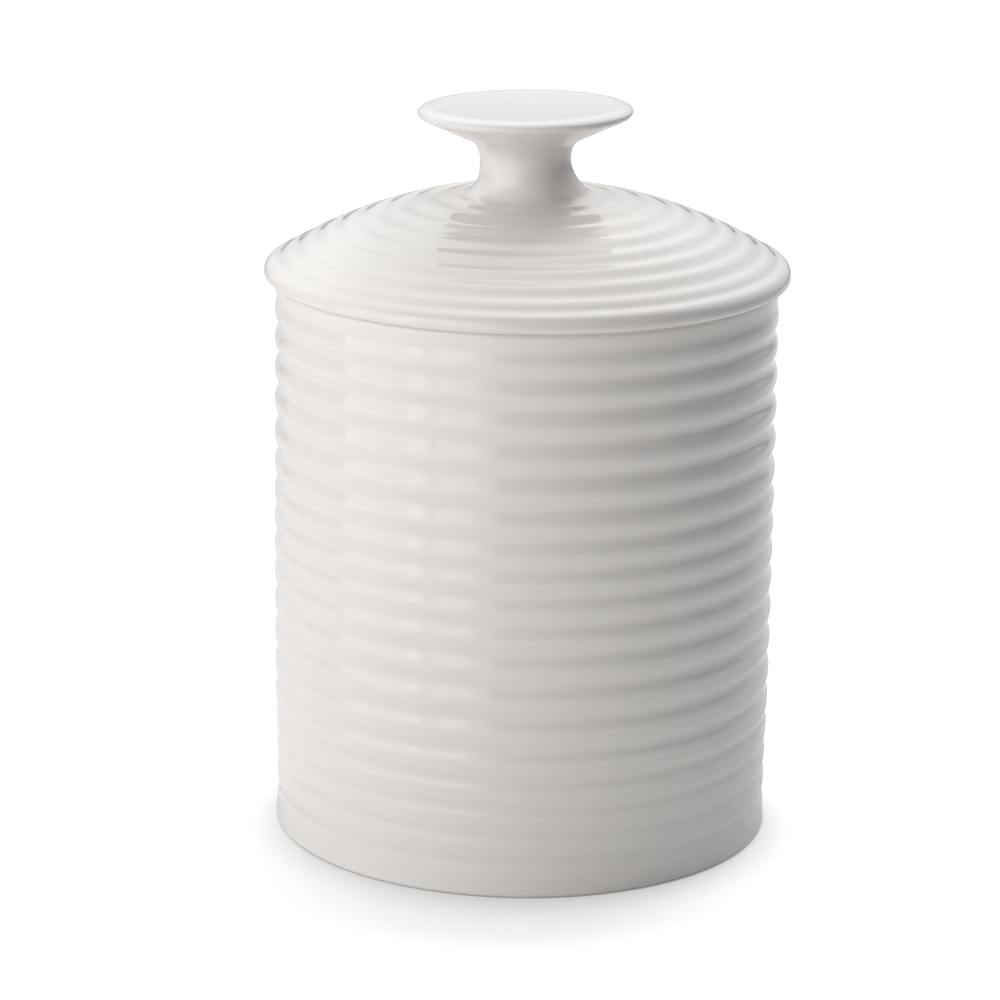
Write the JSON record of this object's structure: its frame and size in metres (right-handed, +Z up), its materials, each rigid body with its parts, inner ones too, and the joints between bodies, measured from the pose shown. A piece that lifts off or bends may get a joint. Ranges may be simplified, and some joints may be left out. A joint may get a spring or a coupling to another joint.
{
  "type": "lidded storage jar",
  "caption": "Ribbed white porcelain kitchen keeper for garlic: a straight jar with a domed, knobbed lid that lifts off.",
  "frame": {"origin": "centre of the foot ring, on the surface the jar stands on", "axes": "+Z up along the axis of the jar, towards the knob; X and Y are alike, because every piece is turned round Z"},
  "size_m": [0.127, 0.127, 0.1782],
  "materials": {
    "jar_glaze": "glossy warm white glaze, bare fired foot ring",
    "lid_glaze": "glossy warm white glaze, bare fired edge at the foot of its collar"
  },
  "bodies": {
    "jar": {"jar": "jar_glaze"},
    "lid": {"lid": "lid_glaze"}
  },
  "joints": [
    {"name": "lid_lift", "type": "slide", "parent": "jar", "child": "lid", "axis": [0, 0, 1], "range_m": [0, 0.12]}
  ]
}
